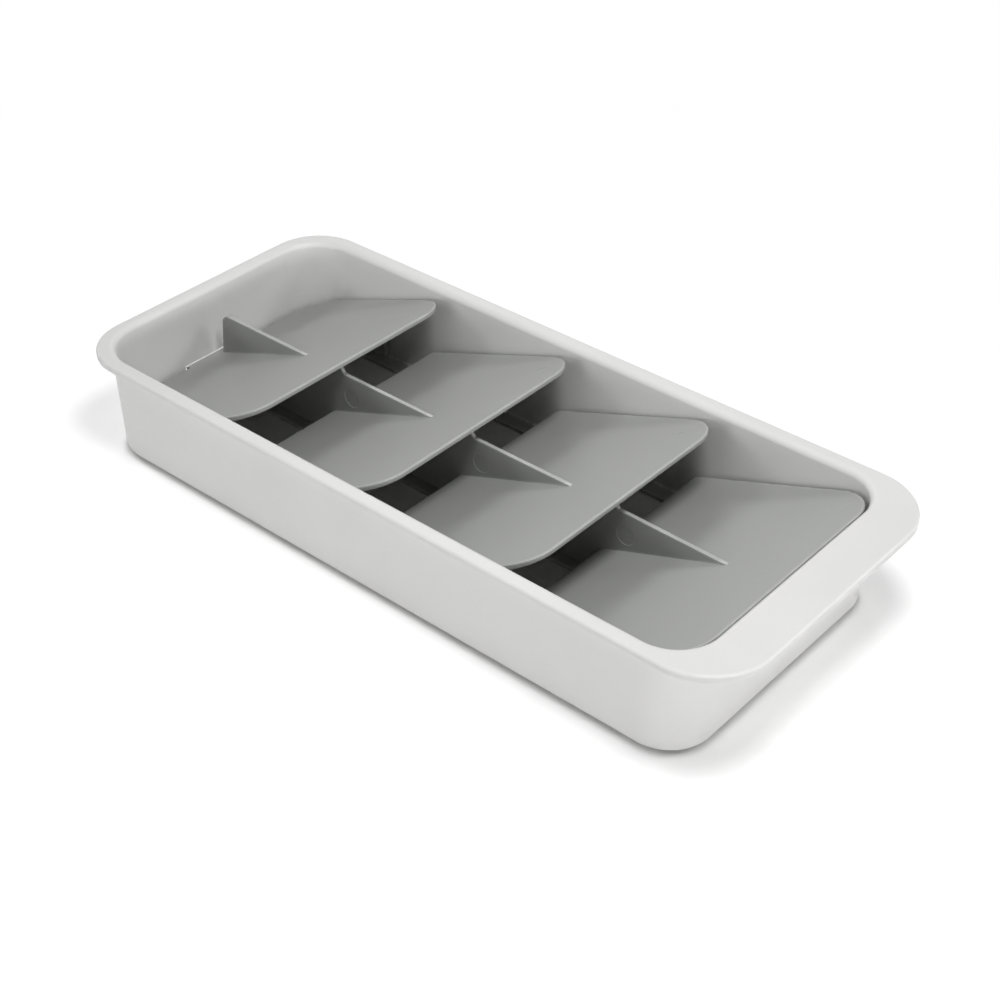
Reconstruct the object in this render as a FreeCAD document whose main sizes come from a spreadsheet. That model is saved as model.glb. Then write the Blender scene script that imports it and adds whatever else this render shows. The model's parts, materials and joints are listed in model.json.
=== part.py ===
import FreeCAD, Part
import math
import os
import re

import Sketcher
from FreeCAD import Placement, Rotation, Vector

# A drawer cutlery tray: one pale tub with a flanged rim that widens into a handle, and a grey
# insert of four sloping shelves on a centre divider, which lifts at the front about a tongue
# hooked into the tub's rear wall. Millimetres and degrees, +Z up, the handle towards -Y, the
# origin under the middle of the tub on the surface that its feet stand on.

# Driving dimensions, one row each: name, value, what it measures.
SIZES = [
    ("tray_length", 400.0, "overall length, handle edge to rear rim"),
    ("tray_width", 172.0, "overall width across the rim"),
    ("tray_height", 59.6, "overall height, feet included"),
    ("wall_thickness", 2.4, "side, front and rear walls of the tub"),
    ("floor_thickness", 2.2, "floor of the tub"),
    ("wall_lean", 1.5, "how far each wall leans out over the full height"),
    ("side_overhang", 6.2, "rim beyond the side walls"),
    ("rear_overhang", 4.7, "rim beyond the rear wall"),
    ("handle_depth", 22.4, "rim beyond the front wall, the handle"),
    ("rim_front_radius", 32.8, "corners of the handle"),
    ("rim_rear_radius", 28.6, "rear corners of the rim"),
    ("wall_front_radius", 24.0, "front corners of the wall at the rim"),
    ("wall_rear_radius", 27.4, "rear corners of the wall at the rim"),
    ("lip_depth", 4.0, "height of the rim's outer edge"),
    ("lip_thickness", 2.4, "thickness of the rim's flat top"),
    ("skirt_thickness", 1.8, "downturned edge of the rim"),
    ("lip_root", 1.0, "thickening of the wall under the rim"),
    ("rim_round", 1.2, "upper outer edge of the rim"),
    ("skirt_round", 0.8, "lower outer edge of the rim"),
    ("mouth_round", 3.2, "inner edge of the rim"),
    ("base_round", 3.0, "outer edge of the base"),
    ("floor_round", 2.0, "inner edge of the floor"),
    ("foot_diameter", 14.0, "rubber foot"),
    ("foot_proud", 1.2, "foot below the base"),
    ("foot_seat", 0.9, "foot inside its recess"),
    ("foot_edge_round", 0.5, "lower edge of a foot"),
    ("foot_gap", 0.15, "round a foot in its recess"),
    ("foot_side_inset", 17.0, "foot centre from the side of the base"),
    ("foot_end_inset", 24.0, "foot centre from the end of the base"),
    ("tier_slope", 20.4, "slope of a shelf, in degrees"),
    ("fin_drop", 13.3, "top of the fins below the rim"),
    ("plate_thickness", 2.8, "shelf plate"),
    ("plate_edge_round", 0.7, "edges of a shelf plate"),
    ("plate_side_gap", 1.0, "shelf to the foot of the side wall"),
    ("plate_rear_gap", 2.0, "rearmost shelf to the foot of the rear wall"),
    ("plate_front_gap", 0.9, "foremost shelf to the top of the front wall"),
    ("front_reach", 33.0, "fin tip to the shelf's front edge"),
    ("last_front_reach", 31.9, "foremost fin tip to that shelf's front edge"),
    ("last_drop", 1.0, "foremost shelf below the level of the others"),
    ("back_reach", 69.0, "fin tip to the shelf's back edge"),
    ("plate_front_radius", 21.0, "front corners of a shelf"),
    ("plate_back_radius", 1.4, "back corners of a shelf"),
    ("first_back_radius", 23.0, "back corners of the rearmost shelf"),
    ("last_front_radius", 22.0, "front corners of the foremost shelf"),
    ("tongue_width", 43.0, "hook tongue on the rearmost shelf"),
    ("window_side_gap", 1.7, "tongue to the end of the window"),
    ("window_top_gap", 1.0, "tongue to the top of the window"),
    ("window_low_gap", 0.8, "tongue to the bottom of the window"),
    ("divider_thickness", 2.0, "centre divider"),
    ("keel_width", 15.4, "foot flange of the divider"),
    ("keel_thickness", 2.0, "foot flange of the divider"),
    ("notch_depth", 9.0, "start of the divider's slot, from the rearmost shelf's back edge"),
    ("fin_back_inset", 2.9, "rear end of the divider inside the shelf's back edge"),
    ("fin_back_lean", 2.7, "forward lean of the rear fin's back edge"),
    ("fin_corner_radius", 5.0, "top back corner of the rear fin"),
    ("ridge_reach", 22.5, "fin tip to where the divider meets the next shelf"),
    ("step_run", 5.0, "length of the divider's step up to a shelf"),
    ("step_round", 1.6, "inside corner at the foot of a step"),
    ("pin_mark_diameter", 10.0, "ejector mark on a fin"),
    ("pin_mark_depth", 0.15, "ejector mark on a fin"),
    ("pin_mark_inset", 4.8, "step up to the shelf behind to the ejector mark"),
    ("pin_mark_drop", 12.5, "top of the fin to the ejector mark"),
    ("rail_width", 8.6, "foot rail beside the wall"),
    ("rail_thickness", 2.0, "foot rail beside the wall"),
    ("rail_gap", 0.5, "rail to the rounding of the floor"),
    ("bracket_thickness", 2.4, "bracket from rail to shelf"),
    ("bracket_length", 30.0, "bracket from rail to shelf"),
    ("bracket_setback", 24.0, "bracket from the shelf's back edge"),
    ("mark_length", 15.6, "cutlery mark on a shelf"),
    ("mark_depth", 0.12, "cutlery mark on a shelf"),
    ("mark_side", 14.0, "cutlery mark from the shelf's side"),
    ("mark_reach", 20.5, "cutlery mark forward of the fin tip"),
    ("mark_turn", -45.0, "cutlery mark towards the corner, in degrees"),
    ("overrun", 2.0, "cuts run past the faces that they open"),
]

TIERS = 4

# Sizes that follow from the driving ones: name, formula.
DERIVED = [
    ("base_level", "foot_proud"),
    ("floor_level", "base_level + floor_thickness"),
    ("rim_half", "tray_width / 2"),
    ("rim_end", "tray_length / 2"),
    ("rim_low", "tray_height - lip_depth"),
    ("wall_half", "rim_half - side_overhang"),
    ("wall_front", "rim_end - handle_depth"),
    ("wall_rear", "rim_end - rear_overhang"),
    ("base_half", "wall_half - wall_lean"),
    ("base_front", "wall_front - wall_lean"),
    ("base_rear", "wall_rear - wall_lean"),
    ("base_front_radius", "wall_front_radius - wall_lean"),
    ("base_rear_radius", "wall_rear_radius - wall_lean"),
    ("lean_angle", "atan(wall_lean / tray_height)"),
    ("foot_side", "base_half - foot_side_inset"),
    ("foot_front", "base_front - foot_end_inset"),
    ("foot_rear", "base_rear - foot_end_inset"),
    ("fin_level", "tray_height - fin_drop"),
    ("rise", "tan(tier_slope)"),
    ("along", "1 / cos(tier_slope)"),
    ("plate_drop", "plate_thickness * along"),
    ("plate_half", "base_half - wall_thickness - plate_side_gap"),
    ("back_edge", "base_rear - wall_thickness - plate_rear_gap"),
    ("first_tip", "back_edge - back_reach"),
    ("last_tip", "last_front_reach + plate_front_gap + wall_thickness - wall_front"),
    ("tier_pitch", f"(first_tip - last_tip) / {TIERS - 1}"),
    ("tongue_reach", "plate_rear_gap + wall_thickness"),
    ("tongue_top", "fin_level - (back_reach + plate_rear_gap) * rise"),
    ("tongue_low", "fin_level - (back_reach + tongue_reach) * rise - plate_drop"),
    ("window_half", "tongue_width / 2 + window_side_gap"),
    ("window_top", "tongue_top + window_top_gap"),
    ("window_low", "tongue_low - window_low_gap"),
    ("divider_rear", "back_edge - fin_back_inset"),
    ("divider_front", "last_tip - ridge_reach"),
    ("ridge_lift", "ridge_reach * rise - plate_drop / 2"),
    ("rail_outer", "base_half - wall_thickness - floor_round - rail_gap"),
    ("rail_front", "base_front_radius - base_front"),
    ("rail_rear", "base_rear - base_rear_radius"),
    ("rail_top", "floor_level + rail_thickness"),
]

# Faces and edges count as lying at a place within this share of the overrun.
NEAR_SHARE = 0.001

# Cutlery marks, from the rearmost shelf to the foremost. Each mark is a few rounded slots, cut in
# turn; a slot is its start, end, sideways place, width at the start and width at the end, as
# shares of the mark's length, with the handle's end towards the shelf's corner.
MARK_SHARES = [
    [[(-0.32, -0.18, 0.0, 0.19, 0.17)], [(-0.14, 0.36, 0.0, 0.05, 0.09)]],
    [[(-0.46, 0.02, 0.0, 0.08, 0.12)], [(0.04, 0.46, 0.0, 0.07, 0.09)]],
    [
        [(-0.47, -0.19, place, 0.036, 0.036) for place in (-0.075, 0.0, 0.075)],
        [(-0.19, -0.12, 0.0, 0.2, 0.1)],
        [(-0.1, 0.46, 0.0, 0.06, 0.09)],
    ],
    [[(-0.38, -0.22, 0.0, 0.24, 0.2)], [(-0.16, 0.46, 0.0, 0.055, 0.1)]],
]

doc = FreeCAD.newDocument("cutlery_tray")

sheet = doc.addObject("Spreadsheet::Sheet", "Sizes")
NAMES = {row[0] for row in SIZES} | {row[0] for row in DERIVED}
for line, (name, size, meaning) in enumerate(SIZES, start=1):
    sheet.set(f"A{line}", meaning)
    sheet.set(f"B{line}", str(size))
    sheet.setAlias(f"B{line}", name)
for line, (name, text) in enumerate(DERIVED, start=len(SIZES) + 1):
    sheet.set(f"A{line}", name.replace("_", " "))
    sheet.set(f"B{line}", "=" + text)
    sheet.setAlias(f"B{line}", name)
doc.recompute()


def formula(text):
    """The text with each size's name pointed at its cell."""
    return re.sub(r"[a-z_]+", lambda word: f"Sizes.{word[0]}" if word[0] in NAMES else word[0], text)


def value(text):
    """What a formula comes to now, to start a sketch near its solution."""
    return float(sheet.evalExpression(formula(text)))


def bind(thing, path, text):
    """Drives one property by a formula in the sheet's names."""
    thing.setExpression(path, formula(text))


def new_body(label):
    body = doc.addObject("PartDesign::Body", label)
    body.Label = label
    return body


def new_sketch(body, role, level="0"):
    """A sketch on one of the body's origin planes, moved along the plane's normal."""
    sketch = body.newObject("Sketcher::SketchObject", "Sketch")
    plane = next(datum for datum in body.Origin.OriginFeatures if datum.Role == role)
    sketch.AttachmentSupport = [(plane, "")]
    sketch.MapMode = "FlatFace"
    bind(sketch, "AttachmentOffset.Base.z", level)
    return sketch


def constrain(sketch, kind, *places, by):
    """A driving dimension, bound to a formula."""
    index = sketch.addConstraint(Sketcher.Constraint(kind, *places, value(by)))
    bind(sketch, f"Constraints[{index}]", by)


def pin_point(sketch, geometry, corner, across, up):
    """Holds one point of a sketch at two distances from the sketch's origin."""
    constrain(sketch, "DistanceX", -1, 1, geometry, corner, by=across)
    constrain(sketch, "DistanceY", -1, 1, geometry, corner, by=up)


def draw_polygon(sketch, corners):
    """A closed outline of straight lines through corners given as pairs of formulas."""
    points = [Vector(value(across), value(up), 0) for across, up in corners]
    sides = []
    for start, end in zip(points, points[1:] + points[:1]):
        sides.append(sketch.addGeometry(Part.LineSegment(start, end)))
    for side, following in zip(sides, sides[1:] + sides[:1]):
        sketch.addConstraint(Sketcher.Constraint("Coincident", side, 2, following, 1))
    for side, (across, up) in zip(sides, corners):
        pin_point(sketch, side, 1, across, up)


def draw_rectangle(sketch, left, right, low, high):
    draw_polygon(sketch, [(left, low), (right, low), (right, high), (left, high)])


def draw_arc(sketch, across, up, radius, start_turn, end_turn):
    circle = Part.Circle(Vector(across, up, 0), Vector(0, 0, 1), radius)
    return sketch.addGeometry(Part.ArcOfCircle(circle, math.radians(start_turn), math.radians(end_turn)))


def draw_rounded(sketch, half, front, rear, front_radius, rear_radius):
    """A rectangle about the Y axis with rounded corners, those at the front and rear apart."""
    x, y0, y1 = value(half), -value(front), value(rear)
    r0, r1 = value(front_radius), value(rear_radius)
    runs = [
        ((-x + r0, y0), (x - r0, y0)),
        ((x, y0 + r0), (x, y1 - r1)),
        ((x - r1, y1), (-x + r1, y1)),
        ((-x, y1 - r1), (-x, y0 + r0)),
    ]
    sides = [sketch.addGeometry(Part.LineSegment(Vector(*a, 0), Vector(*b, 0))) for a, b in runs]
    corners = [
        draw_arc(sketch, x - r0, y0 + r0, r0, 270, 360),
        draw_arc(sketch, x - r1, y1 - r1, r1, 0, 90),
        draw_arc(sketch, -x + r1, y1 - r1, r1, 90, 180),
        draw_arc(sketch, -x + r0, y0 + r0, r0, 180, 270),
    ]
    for side, corner, following in zip(sides, corners, sides[1:] + sides[:1]):
        sketch.addConstraint(Sketcher.Constraint("Tangent", side, 2, corner, 1))
        sketch.addConstraint(Sketcher.Constraint("Tangent", corner, 2, following, 1))
    for side, direction in zip(sides, ("Horizontal", "Vertical", "Horizontal", "Vertical")):
        sketch.addConstraint(Sketcher.Constraint(direction, side))
    for corner, radius in zip(corners, (front_radius, rear_radius, rear_radius, front_radius)):
        constrain(sketch, "Radius", corner, by=radius)
    constrain(sketch, "DistanceY", sides[0], 1, -1, 1, by=front)
    constrain(sketch, "DistanceX", -1, 1, sides[1], 1, by=half)
    constrain(sketch, "DistanceY", -1, 1, sides[2], 1, by=rear)
    constrain(sketch, "DistanceX", sides[3], 1, -1, 1, by=half)


def draw_slot(sketch, start, end, place, start_width, end_width):
    """A slot along the sketch's X axis with round ends, which may differ in width."""
    x0, x1, y = value(start), value(end), value(place)
    r0, r1 = value(start_width) / 2, value(end_width) / 2
    lower = sketch.addGeometry(Part.LineSegment(Vector(x0, y - r0, 0), Vector(x1, y - r1, 0)))
    upper = sketch.addGeometry(Part.LineSegment(Vector(x1, y + r1, 0), Vector(x0, y + r0, 0)))
    last = draw_arc(sketch, x1, y, r1, -90, 90)
    first = draw_arc(sketch, x0, y, r0, 90, 270)
    for one, another in ((lower, last), (last, upper), (upper, first), (first, lower)):
        sketch.addConstraint(Sketcher.Constraint("Tangent", one, 2, another, 1))
    for arc, across, width in ((first, start, start_width), (last, end, end_width)):
        constrain(sketch, "Radius", arc, by=f"({width}) / 2")
        pin_point(sketch, arc, 3, across, place)


def draw_circle(sketch, across, up, diameter):
    centre = Vector(value(across), value(up), 0)
    circle = sketch.addGeometry(Part.Circle(centre, Vector(0, 0, 1), value(diameter) / 2))
    constrain(sketch, "Diameter", circle, by=diameter)
    pin_point(sketch, circle, 3, across, up)


def extrude(body, kind, sketch, length, reverse=False, both_ways=False):
    """A Pad or a Pocket of one sketch."""
    feature = body.newObject(f"PartDesign::{kind}", kind)
    feature.Profile = sketch
    feature.Reversed = reverse
    feature.SideType = "Symmetric" if both_ways else "One side"
    bind(feature, "Length", length)
    doc.recompute()
    return feature


def lean_walls(body, level, reverse=False):
    """Leans the upright faces that start at one height, about their lines at the origin's height."""
    near = value("overrun") * NEAR_SHARE
    tip = body.Tip
    names = []
    for n, face in enumerate(tip.Shape.Faces, start=1):
        if abs(face.BoundBox.ZMin - level) < near and face.BoundBox.ZLength > near:
            names.append(f"Face{n}")
    ground = next(datum for datum in body.Origin.OriginFeatures if datum.Role == "XY_Plane")
    feature = body.newObject("PartDesign::Draft", "Draft")
    feature.Base = (tip, names)
    feature.NeutralPlane = (ground, [""])
    feature.Reversed = reverse
    bind(feature, "Angle", "lean_angle")
    doc.recompute()


def round_edges(body, edges, radius):
    """Rounds the given edges of the body as it stands."""
    tip = body.Tip
    names = [f"Edge{n}" for n, edge in enumerate(tip.Shape.Edges, start=1) if edge.hashCode() in edges]
    feature = body.newObject("PartDesign::Fillet", "Fillet")
    feature.Base = (tip, names)
    bind(feature, "Radius", radius)
    doc.recompute()


def outer_edges(body, level):
    """The body's widest flat face at one height, and that face's outer boundary."""
    near = value("overrun") * NEAR_SHARE
    faces = [
        face
        for face in body.Tip.Shape.Faces
        if abs(face.BoundBox.ZMin - level) < near and abs(face.BoundBox.ZMax - level) < near
    ]
    widest = max(faces, key=lambda face: face.BoundBox.DiagonalLength)
    return widest, {edge.hashCode() for edge in widest.OuterWire.Edges}


def inner_edges(face):
    """The boundaries of a flat face's holes."""
    outer = {edge.hashCode() for edge in face.OuterWire.Edges}
    return {edge.hashCode() for edge in face.Edges} - outer


def cross_edges(body, along_y, along_z):
    """The body's edges across the divider through one point of its outline."""
    near = value("overrun") * NEAR_SHARE
    y, z = value(along_y), value(along_z)
    found = set()
    for edge in body.Tip.Shape.Edges:
        box = edge.BoundBox
        if max(abs(box.YMin - y), abs(box.YMax - y), abs(box.ZMin - z), abs(box.ZMax - z)) < near:
            found.add(edge.hashCode())
    return found


def tip_of(tier):
    """The formula for where a shelf's fin runs out, counted from the rear."""
    return f"first_tip - {tier} * tier_pitch"


def level_of(tier):
    """The formula for how high a shelf's fin runs out."""
    return "(fin_level - last_drop)" if tier == TIERS - 1 else "fin_level"


def make_tray():
    """The tub: leaning walls, a flat floor, the rim with its skirt, the window and foot recesses."""
    body = new_body("tray_body")
    outside = new_sketch(body, "XY_Plane", "base_level")
    draw_rounded(outside, "base_half", "base_front", "base_rear", "base_front_radius", "base_rear_radius")
    extrude(body, "Pad", outside, "tray_height - base_level")
    lean_walls(body, value("base_level"), reverse=True)
    _, edges = outer_edges(body, value("base_level"))
    round_edges(body, edges, "base_round")

    rim = new_sketch(body, "XY_Plane", "rim_low")
    draw_rounded(rim, "rim_half", "rim_end", "rim_end", "rim_front_radius", "rim_rear_radius")
    extrude(body, "Pad", rim, "lip_depth")

    inside = new_sketch(body, "XY_Plane", "floor_level")
    wall = "wall_thickness"
    draw_rounded(
        inside,
        f"base_half - {wall}",
        f"base_front - {wall}",
        f"base_rear - {wall}",
        f"base_front_radius - {wall}",
        f"base_rear_radius - {wall}",
    )
    extrude(body, "Pocket", inside, "tray_height - floor_level", reverse=True)
    lean_walls(body, value("floor_level"))
    _, edges = outer_edges(body, value("floor_level"))
    round_edges(body, edges, "floor_round")

    under_rim = new_sketch(body, "XY_Plane", "rim_low")
    skirt = "skirt_thickness"
    draw_rounded(
        under_rim,
        f"rim_half - {skirt}",
        f"rim_end - {skirt}",
        f"rim_end - {skirt}",
        f"rim_front_radius - {skirt}",
        f"rim_rear_radius - {skirt}",
    )
    root = "lip_root"
    draw_rounded(
        under_rim,
        f"wall_half + {root}",
        f"wall_front + {root}",
        f"wall_rear + {root}",
        f"wall_front_radius + {root}",
        f"wall_rear_radius + {root}",
    )
    extrude(body, "Pocket", under_rim, "lip_depth - lip_thickness", reverse=True)

    window = new_sketch(body, "XZ_Plane")
    draw_rectangle(window, "-window_half", "window_half", "window_low", "window_top")
    extrude(body, "Pocket", window, "rim_end + overrun")

    recesses = new_sketch(body, "XY_Plane", "base_level")
    for side in ("-foot_side", "foot_side"):
        for end in ("-foot_front", "foot_rear"):
            draw_circle(recesses, side, end, "foot_diameter + 2 * foot_gap")
    extrude(body, "Pocket", recesses, "foot_seat", reverse=True)

    _, edges = outer_edges(body, value("tray_height"))
    round_edges(body, edges, "rim_round")
    top, _ = outer_edges(body, value("tray_height"))
    round_edges(body, inner_edges(top), "mouth_round")
    _, edges = outer_edges(body, value("rim_low"))
    round_edges(body, edges, "skirt_round")
    return body


def make_foot(label, side, end):
    """A round rubber foot, seated in its recess."""
    body = new_body(label)
    sketch = new_sketch(body, "XY_Plane")
    draw_circle(sketch, "0", "0", "foot_diameter")
    extrude(body, "Pad", sketch, "foot_proud + foot_seat")
    _, edges = outer_edges(body, 0)
    round_edges(body, edges, "foot_edge_round")
    bind(body, "Placement.Base.x", side)
    bind(body, "Placement.Base.y", end)
    return body


def make_tier(tier):
    """A sloping shelf with upright edges, drawn flat from its fin's tip and tilted into place."""
    body = new_body(f"tier_{tier + 1}")
    rearmost = tier == 0
    foremost = tier == TIERS - 1
    front = "last_front_reach * along" if foremost else "front_reach * along"
    front_radius = "last_front_radius" if foremost else "plate_front_radius"
    back_radius = "first_back_radius" if rearmost else "plate_back_radius"
    outline = new_sketch(body, "XY_Plane")
    draw_rounded(outline, "plate_half", front, "back_reach * along", front_radius, back_radius)
    plate = extrude(body, "Pad", outline, "plate_thickness", reverse=True)
    plate.UseCustomVector = True
    bind(plate, "Direction.y", "-rise")
    doc.recompute()
    for level in (0, -value("plate_thickness")):
        _, edges = outer_edges(body, level)
        round_edges(body, edges, "plate_edge_round")
    if rearmost:
        tongue = new_sketch(body, "XY_Plane")
        back = "back_reach * along"
        draw_rectangle(
            tongue,
            "-tongue_width / 2",
            "tongue_width / 2",
            f"{back} - notch_depth / 2",
            f"{back} + tongue_reach * along",
        )
        extrude(body, "Pad", tongue, "plate_thickness", reverse=True)
        notch = new_sketch(body, "XY_Plane")
        draw_rectangle(
            notch,
            "-divider_thickness / 2",
            "divider_thickness / 2",
            f"{back} - notch_depth",
            f"{back} - fin_back_inset * along",
        )
        extrude(body, "Pocket", notch, "plate_thickness + overrun")
    for slots in MARK_SHARES[tier]:
        mark = new_sketch(body, "XY_Plane")
        mark.AttachmentOffset = Placement(Vector(0, 0, 0), Rotation(Vector(0, 0, 1), value("mark_turn")))
        bind(mark, "AttachmentOffset.Base.x", "plate_half - mark_side")
        bind(mark, "AttachmentOffset.Base.y", "-mark_reach * along")
        bind(mark, "AttachmentOffset.Rotation.Angle", "mark_turn")
        for shares in slots:
            draw_slot(mark, *[f"mark_length * ({share})" for share in shares])
        extrude(body, "Pocket", mark, "mark_depth")
    body.Placement = Placement(Vector(0, 0, 0), Rotation(Vector(-1, 0, 0), value("tier_slope")))
    bind(body, "Placement.Base.y", tip_of(tier))
    bind(body, "Placement.Base.z", level_of(tier))
    bind(body, "Placement.Rotation.Angle", "tier_slope")
    return body


def make_divider(tiers):
    """The centre divider: fins over the shelves, a wall under them and a flange on the floor."""
    body = new_body("divider_blank")
    corners = [
        ("divider_front", "floor_level"),
        ("divider_rear", "floor_level"),
        ("divider_rear", "fin_level - back_reach * rise"),
        ("divider_rear - fin_back_lean", "fin_level"),
    ]
    for tier in range(TIERS):
        corners.append((tip_of(tier), level_of(tier)))
        corners.append((f"{tip_of(tier)} - ridge_reach", f"{level_of(tier)} + ridge_lift"))
        if tier < TIERS - 1:
            corners.append((f"{tip_of(tier)} - ridge_reach - step_run", "fin_level"))
    web = new_sketch(body, "YZ_Plane")
    draw_polygon(web, corners)
    extrude(body, "Pad", web, "divider_thickness", both_ways=True)

    keel = new_sketch(body, "XY_Plane", "floor_level")
    draw_rectangle(keel, "-keel_width / 2", "keel_width / 2", "divider_front", "divider_rear")
    extrude(body, "Pad", keel, "keel_thickness")

    marks = new_sketch(body, "YZ_Plane", "-divider_thickness / 2")
    for tier in range(1, TIERS):
        place = f"{tip_of(tier - 1)} - ridge_reach - step_run - pin_mark_inset"
        draw_circle(marks, place, "fin_level - pin_mark_drop", "pin_mark_diameter")
    extrude(body, "Pocket", marks, "pin_mark_depth", reverse=True)

    round_edges(body, cross_edges(body, "divider_rear - fin_back_lean", "fin_level"), "fin_corner_radius")
    for tier in range(TIERS - 1):
        foot = f"{tip_of(tier)} - ridge_reach - step_run"
        round_edges(body, cross_edges(body, foot, "fin_level"), "step_round")

    shelves = doc.addObject("Part::MultiFuse", "shelves")
    shelves.Shapes = tiers
    divider = doc.addObject("Part::Cut", "center_divider")
    divider.Base = body
    divider.Tool = shelves
    divider.Label = "center_divider"
    doc.recompute()
    return divider


def make_rail(label, inward, outer):
    """A foot rail beside one wall, with a bracket up to the underside of each shelf."""
    body = new_body(label)
    strip = new_sketch(body, "YZ_Plane")
    draw_rectangle(strip, "rail_front", "rail_rear", "floor_level", "rail_top")
    extrude(body, "Pad", strip, "rail_width", reverse=inward < 0)
    brackets = new_sketch(body, "YZ_Plane")
    for tier in range(TIERS):
        rear = f"{tip_of(tier)} + back_reach - bracket_setback"
        front = f"{rear} - bracket_length"
        under = [
            f"{level_of(tier)} - plate_drop + ({tip_of(tier)} - ({end})) * rise" for end in (rear, front)
        ]
        draw_polygon(
            brackets, [(front, "rail_top"), (rear, "rail_top"), (rear, under[0]), (front, under[1])]
        )
    extrude(body, "Pad", brackets, "bracket_thickness", reverse=inward < 0)
    bind(body, "Placement.Base.x", outer)
    return body


pieces = [make_tray()]
for end_name, end in (("front", "-foot_front"), ("rear", "foot_rear")):
    for side_name, side in (("left", "-foot_side"), ("right", "foot_side")):
        pieces.append(make_foot(f"foot_{end_name}_{side_name}", side, end))
shelf_plates = [make_tier(tier) for tier in range(TIERS)]
pieces += shelf_plates
pieces.append(make_divider(shelf_plates))
pieces.append(make_rail("side_rail_left", 1, "-rail_outer"))
pieces.append(make_rail("side_rail_right", -1, "rail_outer"))
doc.recompute()

for thing in doc.Objects:
    if "Invalid" in thing.State or "Error" in thing.State:
        raise RuntimeError(f"{thing.Label} failed: {thing.State}")
for piece in pieces:
    if piece.Shape.isNull() or not piece.Shape.isValid():
        raise RuntimeError(f"{piece.Label} has no valid solid")

os.makedirs("parts", exist_ok=True)
for piece in pieces:
    piece.Shape.exportStep(f"parts/{piece.Label}.step")
    box = piece.Shape.optimalBoundingBox()
    print(f"{piece.Label}: {len(piece.Shape.Solids)} solid, {piece.Shape.Volume:.0f} mm3")
    print(f"    x {box.XMin:.2f} to {box.XMax:.2f}, y {box.YMin:.2f} to {box.YMax:.2f}", end="")
    print(f", z {box.ZMin:.2f} to {box.ZMax:.2f}")
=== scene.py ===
# %% [markdown]
# # A drawer tray for cutlery, dressed in Blender
#
# The tray arrives as a finished set of solids: a pale tub with a flanged rim and a handle, a grey
# insert of four sloping shelves on a centre divider, and four rubber feet. This lesson gives each
# of them the surface that its moulding has, builds a small photo studio around them and points a
# camera at the result. The solids stay exactly where they are, and every place and size below is
# read from them or is a named value in metres.

# %% Load the solids
import json
import math

import bpy
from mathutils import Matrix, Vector

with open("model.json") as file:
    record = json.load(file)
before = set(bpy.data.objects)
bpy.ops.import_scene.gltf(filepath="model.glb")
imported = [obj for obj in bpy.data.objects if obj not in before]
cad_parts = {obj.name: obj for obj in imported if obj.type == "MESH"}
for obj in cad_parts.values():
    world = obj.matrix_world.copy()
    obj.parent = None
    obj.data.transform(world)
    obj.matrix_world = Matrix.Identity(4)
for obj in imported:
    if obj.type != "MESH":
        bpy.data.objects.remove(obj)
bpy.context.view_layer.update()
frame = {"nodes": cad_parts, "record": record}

MM = 0.001
solids = frame["nodes"]
print("solids:", ", ".join(sorted(solids)))

# %% [markdown]
# ## The camera
#
# Product photographs of small goods are taken from a few object lengths away with a slightly long
# lens, so that parallel edges converge only a little. The camera could be posed by hand, but here
# it hangs on an arm: a turn round the tray, a rise above the table, a distance and the point that
# it looks at. Those four values are easy to compare with a photograph and to adjust one by one.

# %% Place the camera
CAMERA_TURN = math.radians(-49.23)
CAMERA_RISE = math.radians(36.44)
CAMERA_DISTANCE = 856.03 * MM
CAMERA_AIM = Vector((-8.5, -17.99, 25.0)) * MM
LENS_LENGTH = 64.44
SENSOR_WIDTH = 36.0


def direction(turn, rise):
    """The way from the tray to something that stands at a turn round it and a rise above it."""
    flat = math.cos(rise)
    return Vector((math.sin(turn) * flat, -math.cos(turn) * flat, math.sin(rise)))


def add_to_scene(name, data):
    """Makes an object of a camera, a lamp or a mesh and links it to the scene."""
    thing = bpy.data.objects.new(name, data)
    bpy.context.scene.collection.objects.link(thing)
    return thing


def aim(thing, place, target):
    """Puts a camera or a lamp at a place and turns its front to a target."""
    thing.location = place
    thing.rotation_euler = (target - place).to_track_quat("-Z", "Y").to_euler()


lens = bpy.data.cameras.new("camera")
lens.lens = LENS_LENGTH
lens.sensor_width = SENSOR_WIDTH
camera = add_to_scene("camera", lens)
aim(camera, CAMERA_AIM + direction(CAMERA_TURN, CAMERA_RISE) * CAMERA_DISTANCE, CAMERA_AIM)
bpy.context.scene.camera = camera
bpy.context.scene.view_settings.view_transform = "Standard"
print("camera in mm:", [round(side / MM, 1) for side in camera.location])

# %% [markdown]
# ## A small kit for shader nodes
#
# Every finish below is a node tree. Writing each link out in full hides the idea behind it, so a few
# helpers do the clerical work. One adds a node and fills its sockets, with either a value or the
# output of another node. Two stand for the sums that come up most, a product and a ramp, and the last
# starts a material with its shader and the object's coordinates.

# %% Node helpers
def add_node(tree, kind, settings=None, **sockets):
    """Adds a node; a socket goes by its name, with _ for a space, or by its number, as in _0."""
    node = tree.nodes.new(kind)
    for key, setting in (settings or {}).items():
        setattr(node, key, setting)
    for key, given in sockets.items():
        socket = node.inputs[int(key[1:])] if key[0] == "_" else node.inputs[key.replace("_", " ")]
        if isinstance(given, bpy.types.NodeSocket):
            tree.links.new(given, socket)
        else:
            socket.default_value = given
    return node


def multiply(tree, first, second):
    return add_node(tree, "ShaderNodeMath", {"operation": "MULTIPLY"}, _0=first, _1=second).outputs[0]


def ramp(tree, value, start, end, low=0.0, high=1.0, course="LINEAR"):
    """Runs from low to high while a value goes from start to end, and stays level beyond them."""
    run = add_node(
        tree, "ShaderNodeMapRange", {"interpolation_type": course},
        Value=value, From_Min=start, From_Max=end, To_Min=low, To_Max=high,
    )
    return run.outputs["Result"]


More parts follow.
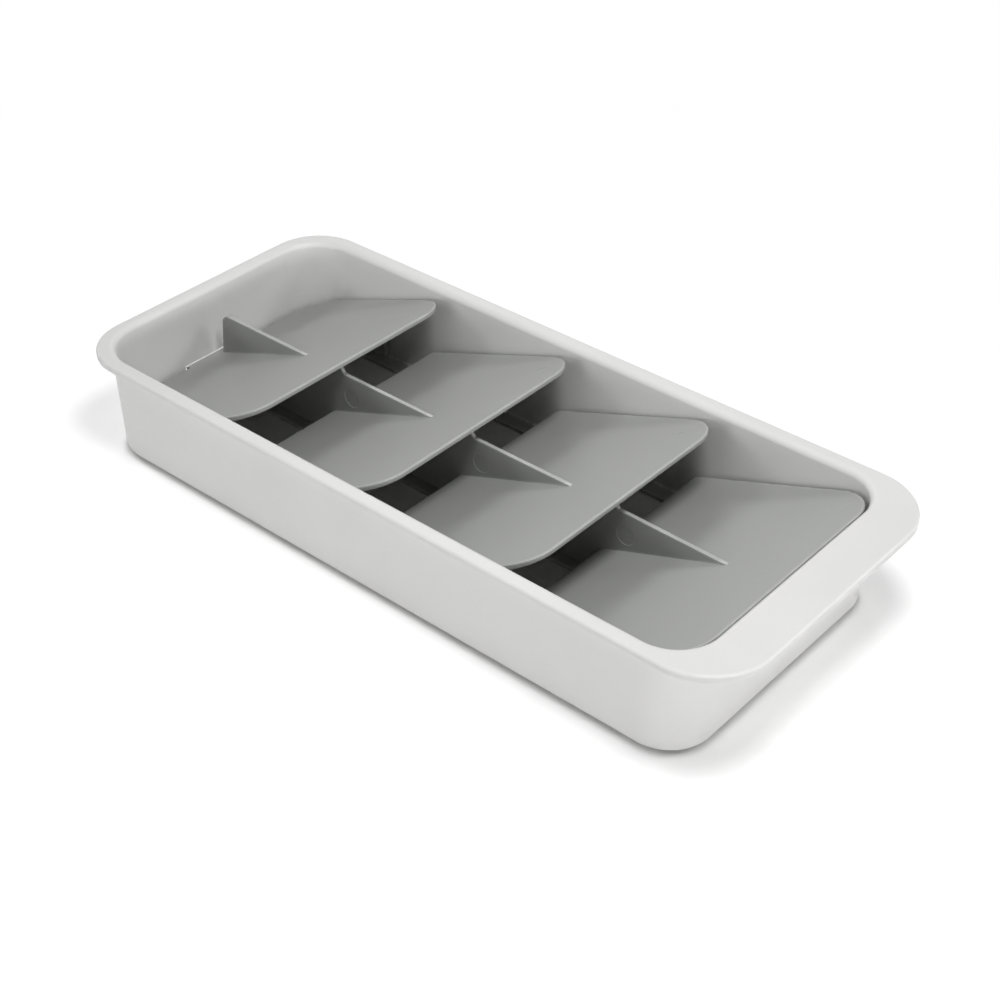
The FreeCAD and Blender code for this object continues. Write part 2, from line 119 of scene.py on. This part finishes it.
def start_material(name):
    """A new material, its node tree, its shader and the object's own coordinates."""
    material = bpy.data.materials.new(name)
    material.use_nodes = True
    tree = material.node_tree
    shader = tree.nodes["Principled BSDF"]
    places = tree.nodes.new("ShaderNodeTexCoord").outputs["Object"]
    return material, tree, shader, places


# %% [markdown]
# ## Floor and surroundings
#
# A white sweep under the tray keeps its soft shadow and throws light back up at the walls. In a
# studio the sweep is lit apart from the goods, so that it photographs white while they keep their
# tones. Here the floor glows instead, for the camera, mirrors and glass alone, and a little less in
# front, where the shadow falls. Light from a studio would not reach under the walls, so close to the
# tray the glow gives way and leaves the dark line that makes it stand on the floor. Further out, where
# the lamps no longer reach evenly, what the camera sees fades to a steady white, so that the background
# stays clean from every side.

# %% What the camera sees of the floor
WHITE = (1.0, 1.0, 1.0, 1.0)
WHITE_STRENGTH = 1.0
GLOW_FRONT, GLOW_REAR = 0.30, 0.45
GLOW_FRONT_Y, GLOW_REAR_Y = -0.20, 0.05
CONTACT_REACH = 4 * MM
CONTACT_DARK = 0.40
CONTACT_SAMPLES = 8


def seen_directly(tree):
    """1 on rays from the camera, mirrors and glass, 0 on rays that only gather light."""
    path = tree.nodes.new("ShaderNodeLightPath")
    seen = path.outputs["Is Camera Ray"]
    for ray in ("Is Glossy Ray", "Is Transmission Ray"):
        either = add_node(
            tree, "ShaderNodeMath", {"operation": "MAXIMUM"}, _0=seen, _1=path.outputs[ray],
        )
        seen = either.outputs[0]
    return seen


def floor_glow(tree, places):
    """How brightly the floor glows: less in front, and not where the tray stands close over it."""
    rearward = add_node(tree, "ShaderNodeSeparateXYZ", Vector=places).outputs["Y"]
    level = ramp(tree, rearward, GLOW_FRONT_Y, GLOW_REAR_Y, GLOW_FRONT, GLOW_REAR, "SMOOTHSTEP")
    opening = add_node(
        tree, "ShaderNodeAmbientOcclusion", {"samples": CONTACT_SAMPLES}, Distance=CONTACT_REACH,
    )
    return ramp(tree, opening.outputs["AO"], CONTACT_DARK, 1.0, 0.0, level)


# %% Build the floor
FLOOR_RADIUS = 8.0
FLOOR_SIDES = 96
FLOOR_GAP = 0.02 * MM
FLOOR_PAINT = (0.93, 0.93, 0.93, 1.0)
FLOOR_ROUGHNESS = 0.9
FLOOR_SHINE = 0.1
FADE_START = 0.32
FADE_END = 0.60


def floor_paint():
    material, tree, shader, places = start_material("floor_paint")
    shader.inputs["Base Color"].default_value = FLOOR_PAINT
    shader.inputs["Roughness"].default_value = FLOOR_ROUGHNESS
    shader.inputs["Specular IOR Level"].default_value = FLOOR_SHINE
    seen = seen_directly(tree)
    glow = multiply(tree, floor_glow(tree, places), seen)
    lift = add_node(tree, "ShaderNodeEmission", Color=WHITE, Strength=glow)
    near = add_node(tree, "ShaderNodeAddShader", _0=shader.outputs["BSDF"], _1=lift.outputs["Emission"])
    away = add_node(tree, "ShaderNodeVectorMath", {"operation": "LENGTH"}, _0=places)
    fade = ramp(tree, away.outputs["Value"], FADE_START, FADE_END, course="SMOOTHSTEP")
    far = add_node(tree, "ShaderNodeEmission", Color=WHITE, Strength=WHITE_STRENGTH)
    mix = add_node(
        tree, "ShaderNodeMixShader",
        _0=multiply(tree, fade, seen), _1=near.outputs["Shader"], _2=far.outputs["Emission"],
    )
    tree.links.new(mix.outputs["Shader"], tree.nodes["Material Output"].inputs["Surface"])
    return material


floor_mesh = bpy.data.meshes.new("floor")
rim = [
    direction(math.tau * side / FLOOR_SIDES, 0.0) * FLOOR_RADIUS - Vector((0, 0, FLOOR_GAP))
    for side in range(FLOOR_SIDES)
]
floor_mesh.from_pydata(rim, [], [range(FLOOR_SIDES)])
floor_mesh.materials.append(floor_paint())
floor = add_to_scene("floor", floor_mesh)
print("floor: a disc of", len(floor_mesh.vertices), "corners, radius", FLOOR_RADIUS, "m")

# %% Light the surroundings
SKY_STRENGTH = 0.02


def light_sky():
    """A world that is white to look at and gives only a little light."""
    world = bpy.data.worlds.new("studio")
    world.use_nodes = True
    tree = world.node_tree
    background = tree.nodes["Background"]
    background.inputs["Color"].default_value = WHITE
    strength = ramp(tree, seen_directly(tree), 0.0, 1.0, SKY_STRENGTH, WHITE_STRENGTH)
    tree.links.new(strength, background.inputs["Strength"])
    bpy.context.scene.world = world


light_sky()
print("sky strength:", SKY_STRENGTH)

# %% [markdown]
# ## Softboxes
#
# A high key lamp draws the shapes: it brightens the flat tops, darkens the divider's near faces and
# sets the shadow under the handle. An overhead panel and a ring of weak fills open the dark sides, and
# two low strips in front reach the tub's upright walls, which lamps from above hardly light. Each one
# is an area lamp on an arm like the camera's, so its row holds a turn and a rise in degrees, a distance,
# a width and a height in metres, and a power in watts.

# %% Hang the softboxes
ARM = 1.6
PANEL = (0.5, 0.5)
STRIP = (1.0, 0.17)
SOFTBOXES = [  # name, turn, rise, distance, width, height, power
    ("key", -20.2, 71.1, 0.777, 0.25, 0.25, 3.05),
    ("overhead", 0.0, 90.0, ARM, 1.3, 1.3, 1.7),
    ("left_fill", 270.0, 12.0, ARM, *PANEL, 4.7),
    ("right_fill", 45.0, 30.0, ARM, *PANEL, 4.0),
    ("rear_right_fill", 135.0, 36.0, ARM, *PANEL, 2.7),
    ("rear_fill", 180.0, 36.0, ARM, *PANEL, 2.2),
    ("rear_left_fill", 225.0, 30.0, ARM, *PANEL, 2.2),
    ("front_strip", 0.0, 4.5, ARM, *STRIP, 6.4),
    ("corner_strip", 315.0, 4.5, ARM, *STRIP, 2.2),
]


def hang_softbox(name, turn, rise, distance, width, height, power):
    """Hangs an oval lamp on an arm and aims it at the middle of the tray's footprint."""
    lamp = bpy.data.lights.new(name, "AREA")
    lamp.shape = "ELLIPSE"
    lamp.size = width
    lamp.size_y = height
    lamp.energy = power
    softbox = add_to_scene(name, lamp)
    aim(softbox, direction(math.radians(turn), math.radians(rise)) * distance, Vector())


for row in SOFTBOXES:
    hang_softbox(*row)
print("softboxes:", len(SOFTBOXES))

# %% [markdown]
# ## What moulded plastic looks like
#
# The tub and the insert are injection mouldings in coloured plastic. From afar they look even, but a
# moulding never is: the pigment is spread in faint clouds a few centimetres across, the steel mould
# leaves a fine satin grain, and hands and cutlery polish its outer edges first, which makes them
# smoother. Their paler colour here is partly that wear and partly a painted highlight, the light that
# rounded edges catch. All of that could be painted as pictures, but noise in the object's own
# coordinates has no seams and stays sharp in a close view. Small helpers name the ingredients.

# %% Helpers for the finishes
NOISE_DETAIL = 2.0
NOISE_LOW, NOISE_HIGH = 0.3, 0.7


def noise(tree, places, size, detail=NOISE_DETAIL):
    """Soft noise from 0 to 1 with blots of about the given size in metres."""
    texture = add_node(tree, "ShaderNodeTexNoise", Vector=places, Scale=1.0 / size, Detail=detail)
    return texture.outputs["Fac"]


def spread(tree, value, low, high):
    """Stretches the middle of a noise so that it runs from low to high."""
    return ramp(tree, value, NOISE_LOW, NOISE_HIGH, low, high)


def shade(colour, gain=1.0):
    """A colour, darker or paler by a gain, with the fourth channel that a socket takes."""
    return (*(channel * gain for channel in colour), 1.0)


def mix_colours(tree, share, first, second):
    """Blends two colours; the Mix node keeps its colour sockets at places 6 and 7."""
    blend = add_node(tree, "ShaderNodeMix", {"data_type": "RGBA"}, _0=share, _6=first, _7=second)
    return blend.outputs[2]


def bump(tree, pattern, height, **below):
    """Raises the surface by a pattern of a height in metres, over the normal below, if there is one."""
    raised = add_node(tree, "ShaderNodeBump", Strength=1.0, Distance=height, Height=pattern, **below)
    return raised.outputs["Normal"]


# %% [markdown]
# ## Satin mouldings
#
# Tub and insert differ in colour, worn and highlit edge colour and roughness only, so one recipe serves
# both. Pigment clouds and a finer fleck vary the colour. The paler edges, partly wear and partly a
# painted highlight, are found by asking, at each point, how much of the solid lies behind the surface:
# little of it means an edge. A third noise varies the gloss, and two bumps give the waviness of a
# cooling wall and the satin grain. Below them a Bevel node rounds the shading of edges that the solids
# leave sharp, as no mould has a perfectly sharp corner.

# %% Colour of the plastics
CLOUD_SIZE = 45 * MM
CLOUD_DETAIL = 3.0
CLOUD_DARK, CLOUD_PALE = 0.975, 1.02
FLECK_SIZE = 1.4 * MM
FLECK_SHARE = 0.35
FLECK_DARK = 0.96


def pigment(tree, places, colour):
    """A colour in soft clouds, sprinkled with darker flecks."""
    clouds = spread(tree, noise(tree, places, CLOUD_SIZE, CLOUD_DETAIL), 0.0, 1.0)
    tone = mix_colours(tree, clouds, shade(colour, CLOUD_DARK), shade(colour, CLOUD_PALE))
    flecks = spread(tree, noise(tree, places, FLECK_SIZE), 0.0, FLECK_SHARE)
    return mix_colours(tree, flecks, tone, shade(colour, FLECK_DARK))


# %% Wear and painted highlight on the outer edges
# This edge mask drives both the polish of real wear and the paler colour of a painted highlight.
WEAR_AND_HIGHLIGHT_REACH = 1.5 * MM
WEAR_AND_HIGHLIGHT_START, WEAR_AND_HIGHLIGHT_FULL = 0.92, 0.55
WEAR_AND_HIGHLIGHT_SAMPLES = 6
WEAR_AND_HIGHLIGHT_PATCH = 14 * MM
WEAR_AND_HIGHLIGHT_LEAST = 0.5


def worn_and_highlit_edges(tree, places):
    """Up to 1 along outer edges, where little solid lies behind the surface, and 0 on open faces; it
    sets both the polish of wear and the paler colour of a painted highlight.
    """
    behind = add_node(
        tree, "ShaderNodeAmbientOcclusion",
        {"inside": True, "only_local": True, "samples": WEAR_AND_HIGHLIGHT_SAMPLES}, Distance=WEAR_AND_HIGHLIGHT_REACH,
    )
    edges = ramp(tree, behind.outputs["AO"], WEAR_AND_HIGHLIGHT_START, WEAR_AND_HIGHLIGHT_FULL, course="SMOOTHSTEP")
    patches = spread(tree, noise(tree, places, WEAR_AND_HIGHLIGHT_PATCH), WEAR_AND_HIGHLIGHT_LEAST, 1.0)
    return multiply(tree, edges, patches)


# %% Surface of the mouldings
WAVE_SIZE = 38 * MM
WAVE_HEIGHT = 0.03 * MM
GRAIN_SIZE = 0.42 * MM
GRAIN_DETAIL = 3.0
GRAIN_HEIGHT = 0.012 * MM
EDGE_ROUND = 0.35 * MM
EDGE_SAMPLES = 4


def moulded_surface(tree, places):
    """Rounded edges, then the slow waves, then the satin grain on top."""
    rounded = add_node(tree, "ShaderNodeBevel", {"samples": EDGE_SAMPLES}, Radius=EDGE_ROUND)
    waves = noise(tree, places, WAVE_SIZE)
    grain = noise(tree, places, GRAIN_SIZE, GRAIN_DETAIL)
    wavy = bump(tree, waves, WAVE_HEIGHT, Normal=rounded.outputs["Normal"])
    return bump(tree, grain, GRAIN_HEIGHT, Normal=wavy)


# %% Make the satin plastics
TUB_COLOUR = (0.795, 0.793, 0.782)
# Paler edge colours: partly wear, partly a painted highlight of the light that rounded edges catch.
TUB_WORN_AND_HIGHLIT = (0.865, 0.863, 0.855)
TUB_ROUGHNESS = 0.42
INSERT_COLOUR = (0.360, 0.367, 0.354)
INSERT_WORN_AND_HIGHLIT = (0.560, 0.570, 0.550)
INSERT_ROUGHNESS = 0.46
GLOSS_PATCH = 14 * MM
GLOSS_DETAIL = 4.0
GLOSS_SWING = 0.02
WEAR_POLISH = -0.12
PLASTIC_SHINE = 0.45


def satin_plastic(name, colour, worn_and_highlit_colour, roughness):
    material, tree, shader, places = start_material(name)
    wear_and_highlight = worn_and_highlit_edges(tree, places)
    # The paler edge colour mixed in here is a painted highlight together with wear; the polish below is
    # wear alone.
    tone = mix_colours(tree, wear_and_highlight, pigment(tree, places, colour), shade(worn_and_highlit_colour))
    tree.links.new(tone, shader.inputs["Base Color"])
    patches = spread(
        tree, noise(tree, places, GLOSS_PATCH, GLOSS_DETAIL),
        roughness - GLOSS_SWING, roughness + GLOSS_SWING,
    )
    polished = add_node(
        tree, "ShaderNodeMath", {"operation": "MULTIPLY_ADD"}, _0=wear_and_highlight, _1=WEAR_POLISH, _2=patches,
    )
    tree.links.new(polished.outputs[0], shader.inputs["Roughness"])
    tree.links.new(moulded_surface(tree, places), shader.inputs["Normal"])
    shader.inputs["Specular IOR Level"].default_value = PLASTIC_SHINE
    return material


finishes = {
    "tray_plastic": satin_plastic("tray_plastic", TUB_COLOUR, TUB_WORN_AND_HIGHLIT, TUB_ROUGHNESS),
    "insert_plastic": satin_plastic("insert_plastic", INSERT_COLOUR, INSERT_WORN_AND_HIGHLIT, INSERT_ROUGHNESS),
}
print("plastics:", ", ".join(finishes))

# %% [markdown]
# ## Rubber for the feet
#
# The feet are soft, matt rubber that grips a drawer's bottom. Rubber scatters light from a coarse,
# open grain, so it gets stronger bumps than the plastics, hardly any gloss and a paler bloom where
# dust has settled in the grain.

# %% Make the rubber
RUBBER_COLOUR = (0.52, 0.52, 0.51)
BLOOM_PALE, BLOOM_DARK = 1.08, 0.9
PORE_SIZE = 0.5 * MM
PORE_DETAIL = 4.0
PORE_DEPTH = 0.05 * MM
RUBBER_ROUGHNESS = (0.78, 0.92)
RUBBER_SHINE = 0.3


def matt_rubber(name, colour):
    material, tree, shader, places = start_material(name)
    pores = noise(tree, places, PORE_SIZE, PORE_DETAIL)
    raised = spread(tree, pores, 0.0, 1.0)
    bloom = mix_colours(tree, raised, shade(colour, BLOOM_PALE), shade(colour, BLOOM_DARK))
    tree.links.new(bloom, shader.inputs["Base Color"])
    tree.links.new(spread(tree, pores, *RUBBER_ROUGHNESS), shader.inputs["Roughness"])
    tree.links.new(bump(tree, pores, PORE_DEPTH), shader.inputs["Normal"])
    shader.inputs["Specular IOR Level"].default_value = RUBBER_SHINE
    return material


finishes["foot_rubber"] = matt_rubber("foot_rubber", RUBBER_COLOUR)
print("feet:", finishes["foot_rubber"].name)

# %% [markdown]
# ## Putting the finishes on
#
# The record that came with the solids names a finish for each of them, so the right material is looked
# up there and takes the place of the plain one in the solid's slot. Nothing else on a solid changes.

# %% Finish the solids
for subpart in frame["record"]["subparts"]:
    mesh = solids[subpart["node"]].data
    mesh.materials.clear()
    mesh.materials.append(finishes[subpart["material_slot"]])
    print(subpart["node"], "is", subpart["material_slot"])
